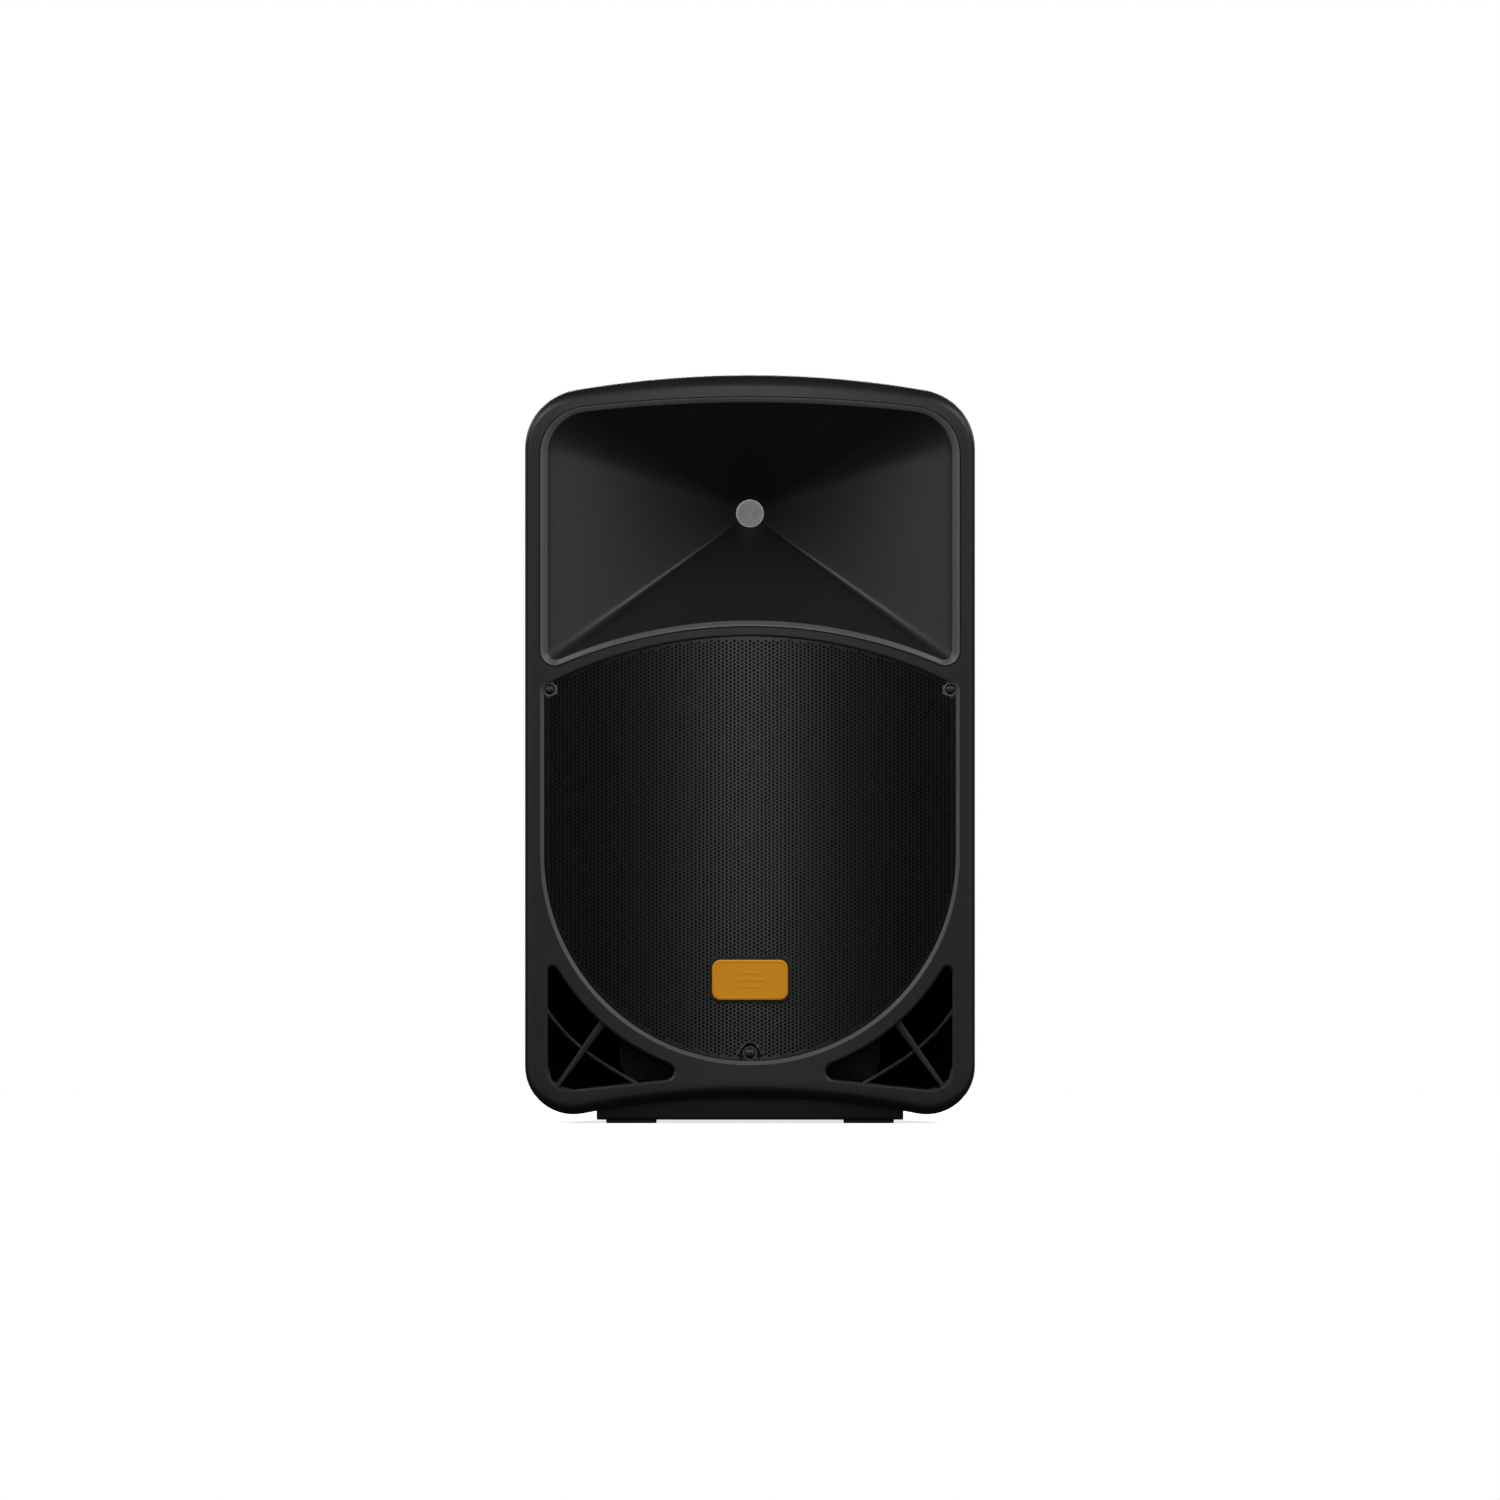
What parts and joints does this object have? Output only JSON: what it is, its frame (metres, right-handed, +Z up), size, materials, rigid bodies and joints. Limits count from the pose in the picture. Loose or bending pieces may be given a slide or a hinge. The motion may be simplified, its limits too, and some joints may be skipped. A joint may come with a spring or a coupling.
{
  "type": "pa speaker cabinet",
  "caption": "Active PA loudspeaker: moulded cabinet with a horn above a grilled woofer, corner ports, side handles, a pole socket and a rear amplifier panel.",
  "frame": {"origin": "on the floor under the middle of the cabinet", "axes": "+Z up, the grille and horn face -Y, the amplifier panel faces +Y, +X to the right seen from the front"},
  "size_m": [0.428, 0.34, 0.712],
  "materials": {
    "cabinet_plastic": "fine moulded texture, satin",
    "horn_plastic": "smooth moulded, satin",
    "throat_mesh": "fine grey mesh",
    "rubber": "matt",
    "grille_steel": "black powder coat, satin",
    "foam": "open-cell foam, matt",
    "black_plastic": "satin",
    "badge_amber": "satin gloss",
    "screw_steel": "black oxide",
    "basket_steel": "black paint, satin",
    "cone_paper": "pressed paper, matt",
    "spider_cloth": "resin-stiffened cloth",
    "copper": "enamelled wire",
    "steel": "zinc plated",
    "ferrite": "sintered, matt",
    "titanium": "thin formed metal",
    "panel_metal": "black fine-texture powder coat",
    "heat_sink_aluminium": "black anodised",
    "board": "solder mask",
    "knob_plastic": "satin, with a pale pointer"
  },
  "bodies": {
    "cabinet": {"amp_cover": "steel", "amp_panel": "panel_metal", "amplifier_board": "board", "badge_bezel": "black_plastic", "badge_plate": "badge_amber", "combo_socket_1": "black_plastic", "combo_socket_2": "black_plastic", "driver_back_cover": "basket_steel", "driver_cable": "rubber", "driver_magnet": "ferrite", "driver_pole_plate": "steel", "driver_top_plate": "steel", "foot_front_left": "rubber", "foot_front_right": "rubber", "foot_rear_left": "rubber", "foot_rear_right": "rubber", "front_baffle": "cabinet_plastic", "grille": "grille_steel", "grille_foam": "foam", "grille_screw_bottom": "screw_steel", "grille_screw_left": "screw_steel", "grille_screw_right": "screw_steel", "heat_sink": "heat_sink_aluminium", "horn_waveguide": "horn_plastic", "input_board": "board", "link_socket": "black_plastic", "pole_socket": "black_plastic", "port_duct_left": "cabinet_plastic", "port_duct_right": "cabinet_plastic", "power_inlet": "black_plastic", "power_supply_board": "board", "rear_shell": "cabinet_plastic", "shell_gasket": "rubber", "side_handle_left": "cabinet_plastic", "side_handle_right": "cabinet_plastic", "switch_housing": "black_plastic", "throat_screen": "throat_mesh", "woofer_basket": "basket_steel", "woofer_cable": "rubber", "woofer_gasket": "rubber", "woofer_magnet": "ferrite", "woofer_pole_yoke": "steel", "woofer_spider": "spider_cloth", "woofer_surround": "rubber", "woofer_top_plate": "steel"},
    "woofer_motion": {"woofer_cone": "cone_paper", "woofer_dust_cap": "cone_paper", "woofer_voice_coil": "copper"},
    "driver_motion": {"driver_diaphragm": "titanium"},
    "level_knob_1_body": {"level_knob_1": "knob_plastic"},
    "level_knob_2_body": {"level_knob_2": "knob_plastic"},
    "treble_knob_body": {"treble_knob": "knob_plastic"},
    "bass_knob_body": {"bass_knob": "knob_plastic"},
    "mic_line_button_1_body": {"mic_line_button_1": "black_plastic"},
    "mic_line_button_2_body": {"mic_line_button_2": "black_plastic"},
    "latch_tab_1_body": {"latch_tab_1": "steel"},
    "latch_tab_2_body": {"latch_tab_2": "steel"},
    "power_rocker_body": {"power_rocker": "black_plastic"},
    "fuse_drawer_body": {"fuse_drawer": "black_plastic"}
  },
  "joints": [
    {"name": "woofer_travel", "type": "slide", "parent": "cabinet", "child": "woofer_motion", "axis": [0, 1, 0], "range_m": [-0.005, 0.005], "stiffness_N_per_m": 2500, "deforming": ["woofer_surround", "woofer_spider"]},
    {"name": "diaphragm_travel", "type": "slide", "parent": "cabinet", "child": "driver_motion", "axis": [0, 1, 0], "range_m": [-0.0003, 0.0003], "stiffness_N_per_m": 5000},
    {"name": "level_1_turn", "type": "hinge", "parent": "cabinet", "child": "level_knob_1_body", "pos_m": [0.055, 0.1551, 0.408], "axis": [0, 1, 0], "range_deg": [-150, 150]},
    {"name": "level_2_turn", "type": "hinge", "parent": "cabinet", "child": "level_knob_2_body", "pos_m": [0.022, 0.1551, 0.408], "axis": [0, 1, 0], "range_deg": [-150, 150]},
    {"name": "treble_turn", "type": "hinge", "parent": "cabinet", "child": "treble_knob_body", "pos_m": [-0.018, 0.1551, 0.408], "axis": [0, 1, 0], "range_deg": [-150, 150]},
    {"name": "bass_turn", "type": "hinge", "parent": "cabinet", "child": "bass_knob_body", "pos_m": [-0.051, 0.1551, 0.408], "axis": [0, 1, 0], "range_deg": [-150, 150]},
    {"name": "power_switch_tip", "type": "hinge", "parent": "cabinet", "child": "power_rocker_body", "pos_m": [0.04, 0.151, 0.246], "axis": [1, 0, 0], "range_deg": [-20, 0]},
    {"name": "mic_line_1_press", "type": "slide", "parent": "cabinet", "child": "mic_line_button_1_body", "axis": [0, -1, 0], "range_m": [0, 0.003], "stiffness_N_per_m": 300},
    {"name": "mic_line_2_press", "type": "slide", "parent": "cabinet", "child": "mic_line_button_2_body", "axis": [0, -1, 0], "range_m": [0, 0.003], "stiffness_N_per_m": 300},
    {"name": "latch_tab_1_press", "type": "slide", "parent": "cabinet", "child": "latch_tab_1_body", "axis": [0, -1, 0], "range_m": [0, 0.0015], "stiffness_N_per_m": 800},
    {"name": "latch_tab_2_press", "type": "slide", "parent": "cabinet", "child": "latch_tab_2_body", "axis": [0, -1, 0], "range_m": [0, 0.0015], "stiffness_N_per_m": 800},
    {"name": "fuse_drawer_pull", "type": "slide", "parent": "cabinet", "child": "fuse_drawer_body", "axis": [0, 1, 0], "range_m": [0, 0.012]}
  ]
}
